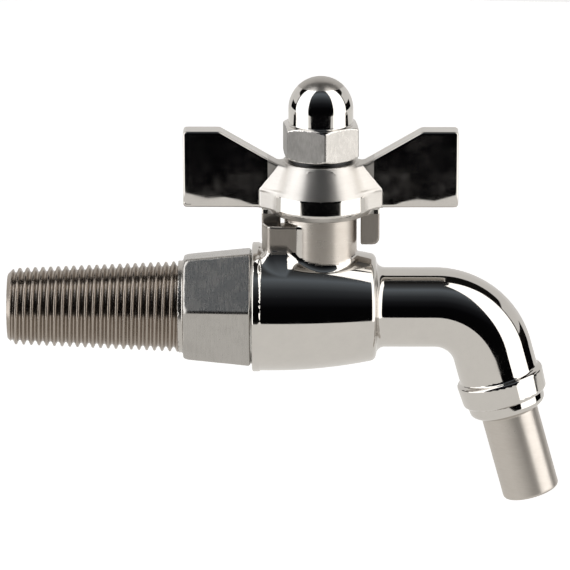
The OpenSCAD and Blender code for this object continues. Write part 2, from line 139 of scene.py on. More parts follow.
def cast_skin(field, low, high, cell):
    """Points, faces and normals of the surface where a field of distances is zero."""
    axes = [np.arange(a, b + cell, cell) for a, b in zip(low, high)]
    value = field(*np.meshgrid(*axes, indexing="ij"))
    cells = np.array(value.shape) - 1
    total = np.zeros((4, cells.prod()))
    around = []
    for a in range(3):
        b, c = (a + 1) % 3, (a + 2) % 3
        near = np.take(value, range(value.shape[a] - 1), axis=a)
        far = np.take(value, range(1, value.shape[a]), axis=a)
        at = np.argwhere((near < 0) != (far < 0))
        here, there = near[tuple(at.T)], far[tuple(at.T)]
        spot = at * cell + np.array(low)
        spot[:, a] += cell * here / (here - there)
        ring = []
        for step_b, step_c in ((-1, -1), (0, -1), (0, 0), (-1, 0)):
            which = at.copy()
            which[:, b] += step_b
            which[:, c] += step_c
            flat = np.ravel_multi_index(tuple(which.T), tuple(cells))
            ring.append(flat)
            for k in range(3):
                total[k] += np.bincount(flat, spot[:, k], len(total[k]))
            total[3] += np.bincount(flat, minlength=len(total[3]))
        ring = np.array(ring).T
        ring[here > 0] = ring[here > 0][:, ::-1]
        around.append(ring)
    used = np.flatnonzero(total[3])
    number = np.zeros(len(total[3]), int)
    number[used] = np.arange(len(used))
    points = (total[:3, used] / total[3, used]).T

    def slope(p):
        h = 0.01
        return np.array([(field(*(p + h * e).T) - field(*(p - h * e).T)) / (2 * h)
                         for e in np.eye(3)]).T

    # put every point exactly on the surface
    for _ in range(5):
        g = slope(points)
        move = (field(*points.T) / np.maximum((g ** 2).sum(1), 0.2))[:, None] * g
        far = np.linalg.norm(move, axis=1, keepdims=True)
        points = points - move * np.minimum(1, 0.4 * cell / np.maximum(far, 1e-9))
    g = slope(points)
    return points, number[np.concatenate(around)], g / np.linalg.norm(g, axis=1, keepdims=True)


def new_piece(name, points, faces, normals, materials, face_material=None):
    """A mesh object from points in millimetres, shaded with its surface's own normals."""
    mesh = bpy.data.meshes.new(name)
    mesh.from_pydata((np.asarray(points) * MM).tolist(), [], [list(map(int, f)) for f in faces])
    for material in materials:
        mesh.materials.append(material)
    if face_material is not None:
        mesh.polygons.foreach_set("material_index", np.asarray(face_material, np.int32))
    mesh.polygons.foreach_set("use_smooth", np.ones(len(mesh.polygons), bool))
    mesh.validate()
    mesh.normals_split_custom_set_from_vertices(np.asarray(normals).tolist())
    mesh.update()
    piece = bpy.data.objects.new(name, mesh)
    bpy.context.scene.collection.objects.link(piece)
    return piece


def paint(hex_code):
    """An sRGB hex colour as the linear colour that a shader takes."""
    parts = [int(hex_code[i:i + 2], 16) / 255 for i in (1, 3, 5)]
    return [p / 12.92 if p <= 0.04045 else ((p + 0.055) / 1.055) ** 2.4 for p in parts] + [1]


def add(tree, kind, inputs=None, **settings):
    """Adds one node; an input takes a plain value or another node's output."""
    made = tree.nodes.new(kind)
    for name, value in settings.items():
        setattr(made, name, value)
    for name, value in (inputs or {}).items():
        if isinstance(value, bpy.types.NodeSocket):
            tree.links.new(value, made.inputs[name])
        else:
            made.inputs[name].default_value = value
    return made


def new_material(name):
    """An empty node material with its output node."""
    material = bpy.data.materials.new(name)
    material.use_nodes = True
    material.node_tree.nodes.clear()
    return material, material.node_tree, add(material.node_tree, "ShaderNodeOutputMaterial")


def steel(name, colour, rough, uneven, wave_mm, wave_height_mm, lines=None, stain=None):
    """Bare stainless steel. Its reflection waves over wave_mm, and lines gives the pitch along
    X, Y and Z in mm and the depth of the marks of a tool or of an abrasive belt. A stain is
    the colour that the steel takes on in patches."""
    material, tree, out = new_material(name)
    place = add(tree, "ShaderNodeTexCoord").outputs["Object"]
    waves = add(tree, "ShaderNodeTexNoise", {"Vector": place, "Scale": 1 / (wave_mm * MM),
                                             "Detail": 1.0, "Roughness": 0.4})
    bump = add(tree, "ShaderNodeBump", {"Height": waves.outputs["Fac"], "Strength": 1.0,
                                        "Distance": wave_height_mm * MM})
    patches = add(tree, "ShaderNodeTexNoise", {"Vector": place, "Scale": 220.0, "Detail": 5.0,
                                               "Roughness": 0.65})
    level = patches.outputs["Fac"]
    if lines:
        stretch = [1 / (pitch * MM) for pitch in lines[:3]]
        marks_at = add(tree, "ShaderNodeMapping", {"Vector": place, "Scale": stretch})
        marks = add(tree, "ShaderNodeTexNoise", {"Vector": marks_at.outputs[0], "Scale": 1.0,
                                                 "Detail": 3.0, "Roughness": 0.7})
        bump = add(tree, "ShaderNodeBump", {"Height": marks.outputs["Fac"], "Strength": 1.0,
                                            "Distance": lines[3] * MM,
                                            "Normal": bump.outputs["Normal"]})
        level = add(tree, "ShaderNodeMath", {0: level, 1: marks.outputs["Fac"]},
                    operation="ADD")
        level = add(tree, "ShaderNodeMath", {0: level.outputs[0], 1: 0.5},
                    operation="MULTIPLY").outputs[0]
    gloss = add(tree, "ShaderNodeMapRange", {"Value": level, "From Min": 0.3, "From Max": 0.7,
                                             "To Min": rough - uneven,
                                             "To Max": rough + uneven})
    shader = add(tree, "ShaderNodeBsdfPrincipled",
                 {"Base Color": paint(colour), "Metallic": 1.0,
                  "Roughness": gloss.outputs["Result"], "Normal": bump.outputs["Normal"]})
    if stain:
        tone = add(tree, "ShaderNodeMix", {0: level, 6: paint(colour), 7: paint(stain)},
                   data_type="RGBA")
        tree.links.new(tone.outputs[2], shader.inputs["Base Color"])
    tree.links.new(shader.outputs[0], out.inputs["Surface"])
    return material


# Mirror-polished cast stainless steel: reflects its surroundings sharply, but they waver a
# little, because a hand-held mop leaves the casting slightly uneven.
polished_casting = steel("mirror_polished_cast_steel", "#d6d2cd", 0.05, 0.03, 7.0, 0.010,
                         stain="#cbc8c4")
# Satin-turned stainless steel: soft reflections, with the fine rings of a turning tool.
satin_neck = steel("satin_turned_cast_steel", "#d0cbc5", 0.30, 0.06, 5.0, 0.012,
                   lines=(3.0, 3.0, 0.25, 0.003), stain="#b9b0a6")
# Lug faces ground by hand: grey, with coarse upright marks.
ground_lug = steel("hand_ground_cast_steel", "#b4aea7", 0.38, 0.08, 4.0, 0.012,
                   lines=(0.4, 0.4, 2.0, 0.010), stain="#98918a")
# Machined stainless steel bores: dull, with finer and darker tool rings.
machined_bore = steel("machined_cast_steel", "#b9b5b0", 0.32, 0.06, 5.0, 0.004,
                      lines=(0.3, 3.0, 3.0, 0.004))

points, faces, normals = cast_skin(body_field, (15.6, -16.2, -29.0), (87.6, 16.2, 25.8), 0.4)
middle = points[faces].mean(axis=1)
facing = normals[faces].mean(axis=1)
from_stem = np.hypot(middle[:, 0] - STEM_X, middle[:, 1])
line, along = spout_line(*middle.T)
finish = np.zeros(len(faces), int)
finish[(from_stem < NECK_R + 0.06) & (middle[:, 2] > 11)] = 1
on_lug = (middle[:, 2] > 15) & (np.abs(facing[:, 2]) < 0.5) & (from_stem > NECK_R + 0.5)
finish[on_lug & (from_stem < LUG_R + 0.1)] = 3
inside = (from_stem < 7.5) & (middle[:, 2] > 6) | (line < 8.5) & (middle[:, 0] > 40)
inside |= (np.hypot(middle[:, 1], middle[:, 2]) < 12.5) & (middle[:, 0] < 42.7)
finish[inside & (middle[:, 2] < 14.6) | inside & (from_stem < 7.5)] = 2
valve_body = new_piece("valve_body_skin", points, faces, normals,
                       [polished_casting, satin_neck, machined_bore, ground_lug], finish)
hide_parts("valve_body")
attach(valve_body, "valve")

# Seats and ball
# Two turned PTFE rings carry the ball, which is ground and polished stainless steel.
# The rings lie in the body's bore, the inlet one held by the end of the tail.


def plastic(name, colour, shade, rough):
    """A matte moulded or turned plastic or rubber with a faint mottle."""
    material, tree, out = new_material(name)
    place = add(tree, "ShaderNodeTexCoord").outputs["Object"]
    mottle = add(tree, "ShaderNodeTexNoise", {"Vector": place, "Scale": 900.0, "Detail": 4.0})
    tone = add(tree, "ShaderNodeMix", {0: mottle.outputs["Fac"], 6: paint(colour),
                                       7: paint(shade)}, data_type="RGBA")
    grain = add(tree, "ShaderNodeBump", {"Height": mottle.outputs["Fac"], "Strength": 1.0,
                                         "Distance": 0.01 * MM})
    shader = add(tree, "ShaderNodeBsdfPrincipled",
                 {"Base Color": tone.outputs[2], "Roughness": rough,
                  "Normal": grain.outputs["Normal"]})
    tree.links.new(shader.outputs[0], out.inputs["Surface"])
    return material


def finish_node(name, material):
    """Gives a CAD node that keeps its shape its real finish."""
    slots = nodes[name].material_slots
    for slot in slots:
        slot.material = material
    if not slots:
        nodes[name].data.materials.append(material)


# Turned PTFE: chalk white, waxy and without gloss.
ptfe = plastic("turned_ptfe", "#f0efea", "#e4e2dc", 0.45)
for name in ("inlet_seat", "outlet_seat"):
    finish_node(name, ptfe)
# Ground and polished stainless steel ball: the sharpest mirror on the valve.
finish_node("ball", steel("polished_ball_steel", "#dad7d3", 0.04, 0.02, 9.0, 0.002))

# Stem and packing
# The stem is turned from bar and goes in from the ball chamber, so it can't blow out.
# A washer and three chevron rings of PTFE seal it, under a steel follower, two disc springs
# and a slotted ring nut.

# Turned stainless bar: grey, with close tool rings round the stem's axis.
turned_bar = steel("turned_bar_steel", "#c4c0bb", 0.25, 0.06, 5.0, 0.003,
                   lines=(3.0, 3.0, 0.2, 0.004))
# Rolled spring steel: darker and bluish, with a smooth skin.
spring_steel = steel("rolled_spring_steel", "#8f9296", 0.3, 0.05, 4.0, 0.004)
for name in ("thrust_washer", "lower_packing_ring", "middle_packing_ring",
             "upper_packing_ring"):
    finish_node(name, ptfe)
for name in ("stem", "gland_ring", "gland_nut"):
    finish_node(name, turned_bar)
for name in ("lower_disc_spring", "upper_disc_spring"):
    finish_node(name, spring_steel)

# Barrel tail
# The tail is turned from hexagon bar: a right-hand taper pipe thread, a drafted hexagon
# ground on its flats, and a spigot that screws into the body on a flat PTFE ring.

THREAD_START = -41.4
THREAD_END = -1.2
PITCH = 1.814
DEPTH = 1.05
SMALL_R = 8.95
LARGE_R = 10.75
TAIL_BORE_R = 6.0
HEX_LEN = 15.9
HEX_CORNER_R = 15.35
HEX_DRAFT = math.radians(5.4)
HEX_TURN = math.radians(10)
SPIGOT_R = 11.5
SPIGOT_END = 22.0
THREAD_STEPS = 16        # points along one pitch
THREAD_SIDES = 96        # points round one turn


def thread_tree(material):
    """A sleeve with a taper thread cut round it, closed along its bore and its two ends."""
    tree = bpy.data.node_groups.new("taper_thread", "GeometryNodeTree")
    sizes = {"Start": THREAD_START, "End": THREAD_END, "Pitch": PITCH, "Depth": DEPTH,
             "Small radius": SMALL_R, "Large radius": LARGE_R, "Bore radius": TAIL_BORE_R}
    for name in sizes:
        tree.interface.new_socket(name, in_out="INPUT", socket_type="NodeSocketFloat")
    tree.interface.new_socket("Geometry", in_out="OUTPUT", socket_type="NodeSocketGeometry")
    given = add(tree, "NodeGroupInput").outputs

    def sum_up(kind, *values):
        made = add(tree, "ShaderNodeMath", dict(enumerate(values)), operation=kind)
        return made.outputs[0]

    turns = math.ceil((THREAD_END - THREAD_START) / PITCH) + 1
    rows = turns * THREAD_STEPS + 1
    sheet = add(tree, "GeometryNodeMeshGrid", {"Size X": 1.0, "Size Y": 1.0,
                                               "Vertices X": THREAD_SIDES + 1,
                                               "Vertices Y": rows + 4})
    where = add(tree, "GeometryNodeInputPosition").outputs[0]
    split = add(tree, "ShaderNodeSeparateXYZ", {0: where}).outputs
    turn = sum_up("ADD", split["X"], 0.5)
    row = sum_up("ROUND", sum_up("MULTIPLY", sum_up("ADD", split["Y"], 0.5), rows + 3.0))
    step = sum_up("DIVIDE", sum_up("SUBTRACT", row, 2.0), float(THREAD_STEPS))
    # place along the axis: a row climbs one pitch in one turn, and stops at the ends
    climb = sum_up("MULTIPLY", sum_up("SUBTRACT", sum_up("ADD", step, turn), 1.0),
                   given["Pitch"])
    free = sum_up("ADD", given["Start"], climb)
    along = sum_up("MINIMUM", sum_up("MAXIMUM", free, given["Start"]), given["End"])
    # height of the thread there: a rounded ridge once in each pitch
    phase = sum_up("SUBTRACT", sum_up("DIVIDE", sum_up("SUBTRACT", along, given["Start"]),
                                      given["Pitch"]), turn)
    peak = sum_up("ABSOLUTE", sum_up("SUBTRACT", sum_up("FRACT", sum_up("ADD", phase, 8.0)),
                                     0.5))
    height = add(tree, "ShaderNodeMapRange", {"Value": peak, "From Min": 0.4375,
                                              "From Max": 0.0625},
                 interpolation_type="SMOOTHSTEP").outputs["Result"]
    taper = sum_up("DIVIDE", sum_up("SUBTRACT", along, given["Start"]),
                   sum_up("SUBTRACT", 0.0, given["Start"]))
    crest = sum_up("MULTIPLY_ADD", taper, sum_up("SUBTRACT", given["Large radius"],
                                                 given["Small radius"]),
                   given["Small radius"])
    cut = sum_up("MULTIPLY", given["Depth"], sum_up("SUBTRACT", 1.0, height))
    thread_r = sum_up("SUBTRACT", crest, cut)
    # the small end is chamfered below the thread's root
    lead = sum_up("SUBTRACT", sum_up("ADD", given["Small radius"],
                                     sum_up("SUBTRACT", along, given["Start"])), 1.35)
    thread_r = sum_up("MINIMUM", thread_r, lead)
    # the first and last rows run down the end faces to the bore
    is_end = sum_up("ADD", sum_up("LESS_THAN", row, 1.5),
                    sum_up("GREATER_THAN", row, rows + 1.5))
    is_far = sum_up("GREATER_THAN", row, rows + 1.5)
    is_last = sum_up("GREATER_THAN", row, rows + 2.5)
    end_x = sum_up("MULTIPLY_ADD", sum_up("SUBTRACT", is_far, is_last),
                   sum_up("SUBTRACT", given["End"], given["Start"]), given["Start"])
    x = sum_up("MULTIPLY_ADD", is_end, sum_up("SUBTRACT", end_x, along), along)
    r = sum_up("MULTIPLY_ADD", is_end, sum_up("SUBTRACT", given["Bore radius"], thread_r),
               thread_r)
    angle = sum_up("MULTIPLY", turn, math.tau)
    spot = add(tree, "ShaderNodeCombineXYZ",
               {"X": x, "Y": sum_up("MULTIPLY", r, sum_up("SINE", angle)),
                "Z": sum_up("MULTIPLY", r, sum_up("COSINE", angle))})
    metres = add(tree, "ShaderNodeVectorMath", {0: spot.outputs[0], "Scale": MM},
                 operation="SCALE")
    placed = add(tree, "GeometryNodeSetPosition", {"Geometry": sheet.outputs["Mesh"],
                                                   "Position": metres.outputs[0]})
    closed = add(tree, "GeometryNodeMergeByDistance", {"Geometry": placed.outputs[0],
                                                       "Distance": 1e-7})
    whole = add(tree, "GeometryNodeRealizeInstances", {"Geometry": closed.outputs[0]})
    dressed = add(tree, "GeometryNodeSetMaterial", {"Geometry": whole.outputs[0],
                                                    "Material": material})
    add(tree, "NodeGroupOutput", {0: dressed.outputs[0]})
    return tree, sizes


def grown(name, tree, sizes):
    """The plain mesh that a tree of geometry nodes makes with these sizes."""
    holder = bpy.data.objects.new(name, bpy.data.meshes.new(name))
    bpy.context.scene.collection.objects.link(holder)
    modifier = holder.modifiers.new(name, "NODES")
    modifier.node_group = tree
    for item in tree.interface.items_tree:
        if item.in_out == "INPUT":
            modifier[item.identifier] = sizes[item.name]
    bpy.context.view_layer.update()
    seen = holder.evaluated_get(bpy.context.evaluated_depsgraph_get())
    mesh = bpy.data.meshes.new_from_object(seen)
    bpy.data.objects.remove(holder)
    return mesh


def tail_field(x, y, z):
    """The hexagon, the shoulder beside the thread and the spigot, bored through."""
    round_x = np.hypot(y, z)
    small_half = HEX_CORNER_R * math.cos(math.pi / 6) - HEX_LEN * math.tan(HEX_DRAFT)
    flats = np.full(x.shape, -50.0)
    for k in range(6):
        lean = HEX_TURN + math.pi / 6 + k * math.pi / 3
        out = -y * math.cos(lean) + z * math.sin(lean)
        flat = (out - small_half) * math.cos(HEX_DRAFT) - x * math.sin(HEX_DRAFT)
        flats = common(flats, flat, 0.5)
    ends = common(-x, x - HEX_LEN, 0.3)
    chamfer_small = (round_x - 12.9) * 0.755 - x * 0.656
    chamfer_large = (round_x - HEX_CORNER_R + 0.4) * 0.45 + (x - HEX_LEN) * 0.893
    hexagon = common(common(flats, ends, 0.5), common(chamfer_small, chamfer_large, 0.4), 0.5)
    shoulder = common(common(round_x - LARGE_R - 0.1, -1.2 - x, 0.15), x - 5, 0.3)
    spigot = common(round_x - SPIGOT_R + 0.9 * (x < 16.6), x - SPIGOT_END, 0.8)
    spigot = np.maximum(spigot, 5 - x)
    solid = joined(joined(hexagon, shoulder, 0.3), spigot, 0.1)
    return np.maximum(solid, TAIL_BORE_R - round_x)


# Cut thread in stainless steel: duller and darker than the rest. A die tears the metal
# slightly, and the colour is also darkened as painted shade, for flanks that catch light from
# few directions.
cut_thread_painted_shade = steel("die_cut_thread_steel_painted_shade", "#bdb4ab", 0.24, 0.06, 3.0, 0.006,
                   lines=(0.12, 1.2, 1.2, 0.003), stain="#8f857b")
# Belt-ground stainless steel flats: grey, with short marks across the hexagon's length.
ground_flats = steel("belt_ground_steel", "#c6c3bf", 0.26, 0.08, 6.0, 0.010,
                     lines=(0.35, 4.0, 4.0, 0.010), stain="#a09d99")

# the thread's steel is darkened partly as painted shade for its flanks
thread_mesh = grown("thread", *thread_tree(cut_thread_painted_shade))
thread_points = np.empty(len(thread_mesh.vertices) * 3)
thread_mesh.vertices.foreach_get("co", thread_points)
thread_points = thread_points.reshape(-1, 3) / MM
thread_normals = np.empty(len(thread_mesh.vertices) * 3)
thread_mesh.vertices.foreach_get("normal", thread_normals)
thread_normals = thread_normals.reshape(-1, 3)
thread_faces = [list(p.vertices) for p in thread_mesh.polygons]

points, faces, normals = cast_skin(tail_field, (-2.0, -16.2, -16.2), (22.8, 16.2, 16.2), 0.36)
middle = points[faces].mean(axis=1)
round_x = np.hypot(middle[:, 1], middle[:, 2])
finish = np.where((round_x < 11.8) | (middle[:, 0] < -0.5), 1, 0)
barrel_tail = new_piece(
    "barrel_tail_skin",
    np.concatenate([thread_points, points]),
    thread_faces + [list(f + len(thread_points)) for f in faces],
    np.concatenate([thread_normals, normals]),
    [cut_thread_painted_shade, ground_flats, turned_bar],
    [0] * len(thread_faces) + list(finish + 1))
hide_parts("barrel_tail")
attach(barrel_tail, "valve")
finish_node("tail_gasket", ptfe)

# Handle
# The handle is one casting: a conical hub with two flat wings and two stop tabs under it.
# It is mopped to a mirror, fits over the stem's two flats and turns with the stem.

HUB_LOW = 23.4
HUB_TOP = 35.9
RIDGE_Z = 28.7
WING_T = 5.6
WING_LOW = 24.9
WING_TOP = 43.2
WING_REACH = 32.2
TAB_LOW = 15.8
TAB_HALF = 2.3


def softened(corners, radius, steps=4):
    """A closed outline with each corner replaced by an arc."""
    made = []
    count = len(corners)
    radii = radius if isinstance(radius, (list, tuple)) else [radius] * count
    for i in range(count):
        here = np.array(corners[i], float)
        back = np.array(corners[i - 1], float) - here
        ahead = np.array(corners[(i + 1) % count], float) - here
        back_len, ahead_len = np.linalg.norm(back), np.linalg.norm(ahead)
        back, ahead = back / back_len, ahead / ahead_len
        half = math.acos(max(-1, min(1, float(back @ ahead)))) / 2
        if radii[i] <= 0 or half > math.radians(88):
            made.append(tuple(here))
            continue
        reach = min(radii[i] / math.tan(half), 0.49 * back_len, 0.49 * ahead_len)
        arc_r = reach * math.tan(half)
        middle_dir = (back + ahead) / np.linalg.norm(back + ahead)
        centre = here + middle_dir * arc_r / math.sin(half)
        start, end = here + back * reach - centre, here + ahead * reach - centre
        sweep = math.atan2(start[0] * end[1] - start[1] * end[0], float(start @ end))
        for k in range(steps + 1):
            t = sweep * k / steps
            made.append((centre[0] + start[0] * math.cos(t) - start[1] * math.sin(t),
                         centre[1] + start[0] * math.sin(t) + start[1] * math.cos(t)))
    return made


def within(u, v, outline):
    """Signed distance to a closed outline, negative inside it."""
    near = np.full(np.shape(u), 1e9)
    sign = np.ones(np.shape(u))
    for (u0, v0), (u1, v1) in zip(outline, outline[1:] + outline[:1]):
        du, dv = u1 - u0, v1 - v0
        t = np.clip(((u - u0) * du + (v - v0) * dv) / max(du * du + dv * dv, 1e-12), 0, 1)
        near = np.minimum(near, (u - u0 - du * t) ** 2 + (v - v0 - dv * t) ** 2)
        if dv:
            crosses = ((v >= v0) != (v >= v1)) & (u < u0 + du * (v - v0) / dv)
            sign = np.where(crosses, -sign, sign)
    return sign * np.sqrt(near)


HUB_OUTLINE = softened(
    [(-1, HUB_LOW), (11.2, HUB_LOW), (12.3, HUB_LOW + 1.6), (12.2, RIDGE_Z), (11.5, 30.2),
     (8.8, HUB_TOP), (-1, HUB_TOP)], [0, 0.4, 0.5, 1.2, 1.2, 0.3, 0])
WING_OUTLINE = softened(
    [(-1, WING_LOW), (WING_REACH, WING_LOW), (WING_REACH, WING_TOP), (23.6, WING_TOP),
     (10.4, 35.5), (7.8, 34.9), (-1, 34.9)], [0, 0.8, 0.8, 2.0, 1.0, 0, 0])
TAB_OUTLINE = softened([(9.4, TAB_LOW), (13.8, TAB_LOW), (13.8, RIDGE_Z), (9.4, RIDGE_Z)],
                       [0.4, 1.6, 0, 0])


def root_facet(from_x, from_y, z, points3):
    """Distance from the flat that runs from a wing's face to the hub."""
    a, b, c = (np.array(p, float) for p in points3)
    across = np.cross(b - a, c - a)
    across /= np.linalg.norm(across)
    if across[1] < 0:
        across = -across
    return (from_x - a[0]) * across[0] + (from_y - a[1]) * across[1] + (z - a[2]) * across[2]


def touching(hub_r, reach):
    """Where a line from a wing's face meets the hub's circle."""
    bearing = math.atan2(WING_T / 2, reach)
    turn = bearing + math.acos(hub_r / math.hypot(reach, WING_T / 2))
    return hub_r * math.cos(turn), hub_r * math.sin(turn)


def handle_field(x, y, z):
    out, side = np.abs(x - STEM_X), np.abs(y)
    from_stem = np.hypot(x - STEM_X, y)
    hub = within(from_stem, z, HUB_OUTLINE)
    # a wing's face is crowned towards its lower edge by the mop, not quite evenly
    crown_z = np.interp(out, (14, 19, 22.5, 26.5, 32), (25.4, 27.4, 28.1, 27.7, 29.2))
    crown_z -= np.where(x > STEM_X, 0.5, 0)
    crown = 0.10 * np.clip((crown_z - z) / 3.0, 0, 1) ** 2
    wings = common(within(out, z, WING_OUTLINE), side - WING_T / 2 + crown, 0.55)
    low_x, low_y = touching(11.7, 14.2)
    mid_x, mid_y = touching(11.1, 14.2)
    top_x, top_y = touching(8.8, 9.8)
    low = root_facet(out, side, z, [(14.2, 2.8, 25), (14.2, 2.8, 29), (low_x, low_y, 25)])
    low = common(low, common(WING_LOW - z, z - 29.8, 0.4), 0.4)
    low = np.maximum(low, side - low_y)
    high = root_facet(out, side, z, [(14.2, 2.8, 29.7), (9.8, 2.8, 35.3),
                                     (mid_x, mid_y, 29.7)])
    high = common(high, common(29.2 - z, z - 35.3, 0.4), 0.4)
    lean = (out - 14.2) * 0.786 + (z - 29.7) * 0.618
    high = np.maximum(common(high, lean, 0.4), side - mid_y)
    tabs = common(within(out, z, TAB_OUTLINE), side - TAB_HALF, 0.4)
    cast = joined(joined(hub, wings, 0.5), joined(low, high, 0.2), 0.3)
    cast = joined(cast, tabs, 0.5)
    recess = np.maximum(from_stem - 8.9, z - 25.1)
    hole = np.maximum(from_stem - 5.05, out - 4.05)
    return np.maximum(cast, -np.minimum(recess, hole))


# Mirror-mopped cast handle: as bright as the body, a little less even.
mopped_casting = steel("mirror_mopped_cast_steel", "#d6d2cd", 0.06, 0.035, 6.0, 0.010,
                       stain="#cdcac6")
# Satin-turned hub: silvery, with soft broad highlights.
satin_hub = steel("satin_turned_hub_steel", "#d2cfcb", 0.34, 0.05, 5.0, 0.010,
                  lines=(3.0, 3.0, 0.3, 0.003), stain="#c0bcb7")
points, faces, normals = cast_skin(handle_field, (-1.0, -13.2, 15.0), (65.6, 13.2, 44.0), 0.34)
middle = points[faces].mean(axis=1)
from_stem = np.hypot(middle[:, 0] - STEM_X, middle[:, 1])
out, side = np.abs(middle[:, 0] - STEM_X), np.abs(middle[:, 1])
# the hub and the roots of the wings are turned and ground, the wings are mopped
finish = np.where(from_stem < 12.6, 2, 0)
finish[(side > WING_T / 2 + 0.1) & (middle[:, 2] > HUB_LOW)] = 2
band = (middle[:, 2] > HUB_LOW + 1.3) & (middle[:, 2] < RIDGE_Z) & (from_stem > 12.1)
finish[band & (side > 6.5)] = 0
finish[(middle[:, 2] < HUB_LOW) & (from_stem > 9.0)] = 3
finish[(from_stem < 5.3) | (from_stem < 9.0) & (middle[:, 2] < 25.2)] = 1
handle = new_piece("handle_skin", points, faces, normals,
                   [mopped_casting, machined_bore, satin_hub, ground_lug], finish)
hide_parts("handle")
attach(handle, "turning")

# Lock washer and dome nut
# A split spring washer and a pressed dome nut hold the handle. The nut's dome is polished,
# and its flats keep the marks of the belt that they were ground on.

NUT_Z = 36.8
NUT_H = 8.0
NUT_HALF = 8.4
NUT_TURN = math.radians(6.6)
DOME_R = 7.6
DOME_Z = 48.2

# Spring steel coloured almost black: painted shade for the gap under the nut, dull sheen.
finish_node("lock_washer", steel("painted_shade_spring_steel", "#3a3a3b", 0.35, 0.05, 4.0, 0.004))


def nut_field(x, y, z):
    from_stem = np.hypot(x - STEM_X, y)
    flats = np.full(x.shape, -50.0)
    for k in range(6):
        lean = NUT_TURN + k * math.pi / 3
        flats = common(flats, (x - STEM_X) * math.cos(lean) + y * math.sin(lean) - NUT_HALF,
                       0.25)
    chamfer_low = (from_stem - NUT_HALF - 0.1) * 0.5 + (NUT_Z - z) * 0.866
    chamfer_top = (from_stem - NUT_HALF - 0.1) * 0.5 + (z - NUT_Z - NUT_H) * 0.866
    prism = common(flats, common(NUT_Z - z, z - NUT_Z - NUT_H, 0.1), 0.2)
    prism = common(prism, common(chamfer_low, chamfer_top, 0.1), 0.2)
    dome = np.where(z > DOME_Z, np.hypot(from_stem, z - DOME_Z), from_stem) - DOME_R
    dome = np.maximum(dome, NUT_Z + 0.5 - z)
    hole = np.maximum(from_stem - 5.05, z - 49.8)
    return np.maximum(joined(prism, dome, 0.25), -hole)


# Polished pressed steel on the dome.
dome_polish = steel("polished_pressed_steel", "#d8d5d1", 0.05, 0.025, 6.0, 0.006)
# Coarsely belt-ground flats of the nut, with marks slanting over them.
nut_flats = steel("coarse_ground_nut_steel", "#c9c6c2", 0.27, 0.10, 4.0, 0.012,
                  lines=(0.5, 0.5, 1.6, 0.016), stain="#a8a5a1")
# One flat has been gripped by a spanner: greyer, with deep slanting scratches.
worn_flat = steel("scratched_nut_steel", "#a19f9c", 0.36, 0.10, 3.0, 0.020,
                  lines=(0.45, 0.45, 1.3, 0.030), stain="#6e6c6a")
points, faces, normals = cast_skin(nut_field, (21.8, -10.5, 36.2), (42.8, 10.5, 56.6), 0.26)
middle = points[faces].mean(axis=1)
facing = normals[faces].mean(axis=1)
from_stem = np.hypot(middle[:, 0] - STEM_X, middle[:, 1])
finish = np.where((middle[:, 2] < NUT_Z + NUT_H - 0.1) & (np.abs(facing[:, 2]) < 0.2), 1, 0)
finish[(finish == 1) & (facing[:, 0] < -0.1) & (facing[:, 1] < 0)] = 3
finish = np.where(from_stem < 5.3, 2, finish)
dome_nut = new_piece("dome_nut_skin", points, faces, normals,
                     [dome_polish, nut_flats, machined_bore, worn_flat], finish)
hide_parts("dome_nut")
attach(dome_nut, "turning")

# Nozzle and its seal
# The nozzle is turned from bar and screws into the spout on a rubber ring. Its flange is
# polished with the body, and the spigot for the hose is left satin.

NOZZLE_BORE_R = 5.2
NOZZLE_R = 6.75
NOZZLE_END = 24.36
FLANGE_R = 9.1


def turned(name, outline, sides, materials, which):
    """A ring turned about the outlet's axis, from its outline of (radius, way along)."""
    outline = np.array(outline)
    step = np.roll(outline, -1, axis=0) - outline
    lean = np.stack([-step[:, 1], step[:, 0]], axis=1)
    lean = -(lean + np.roll(lean, 1, axis=0))
    lean /= np.linalg.norm(lean, axis=1, keepdims=True)
    angle = np.arange(sides) * math.tau / sides
    axis = np.array([OUT_X, 0, OUT_Z])
    across = np.array([0, 1.0, 0])
    other = np.cross(axis, across)
    ring = np.cos(angle)[:, None] * across + np.sin(angle)[:, None] * other
    start = np.array([BEND_END_X + LEG * OUT_X, 0, BEND_END_Z + LEG * OUT_Z])
    points = (start + ring[:, None] * outline[None, :, :1] + axis * outline[None, :, 1:])
    normals = ring[:, None] * lean[None, :, :1] + axis * lean[None, :, 1:]
    count = len(outline)
    faces, slots = [], []
    for i in range(sides):
        for k in range(count):
            a, b = i * count, (i + 1) % sides * count
            n = (k + 1) % count
            faces.append([a + k, b + k, b + n, a + n])
            slots.append(which(*((outline[k] + outline[n]) / 2)))
    return new_piece(name, points.reshape(-1, 3), faces, normals.reshape(-1, 3), materials,
                     slots)


# Satin-turned stainless steel spigot: a soft sheen along its length, as fine rings run
# round it.
satin_spigot = steel("satin_turned_spigot_steel", "#cfcac4", 0.31, 0.05, 6.0, 0.006,
                     lines=(2.5, 2.5, 0.35, 0.004), stain="#b8b1a9")
nozzle_outline = softened(
    [(NOZZLE_BORE_R, NOZZLE_END), (NOZZLE_R, NOZZLE_END), (NOZZLE_R, 3.4), (7.6, 3.4),
     (FLANGE_R, 2.4), (FLANGE_R, 0), (7.8, 0), (7.8, -5.5), (NOZZLE_BORE_R, -5.5)],
    [0.3, 0.9, 0.35, 1.2, 1.6, 0.3, 0.05, 0.4, 0.3], 6)
nozzle = turned("nozzle_skin", nozzle_outline, 128,
                [satin_spigot, polished_casting, machined_bore],
                lambda r, t: 2 if r < 5.6 or t < 0 else (1 if t < 3.6 else 0))
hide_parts("nozzle")
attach(nozzle, "valve")
# Black nitrile rubber: matte and slightly mottled.
finish_node("nozzle_seal", plastic("nitrile_rubber", "#1c1c1c", "#262524", 0.6))

# Studio
# A pale floor, a pale backdrop behind the object and two tall soft boxes beside it. What lies
# in front and overhead is dark, as the photograph's reflections show, with a dim bluish glow
# high up.

FLOOR_Z = -0.36
FLOOR_FRONT = -1.31      # where the floor ends in the metal's reflections
BACKDROP_R = 1.9


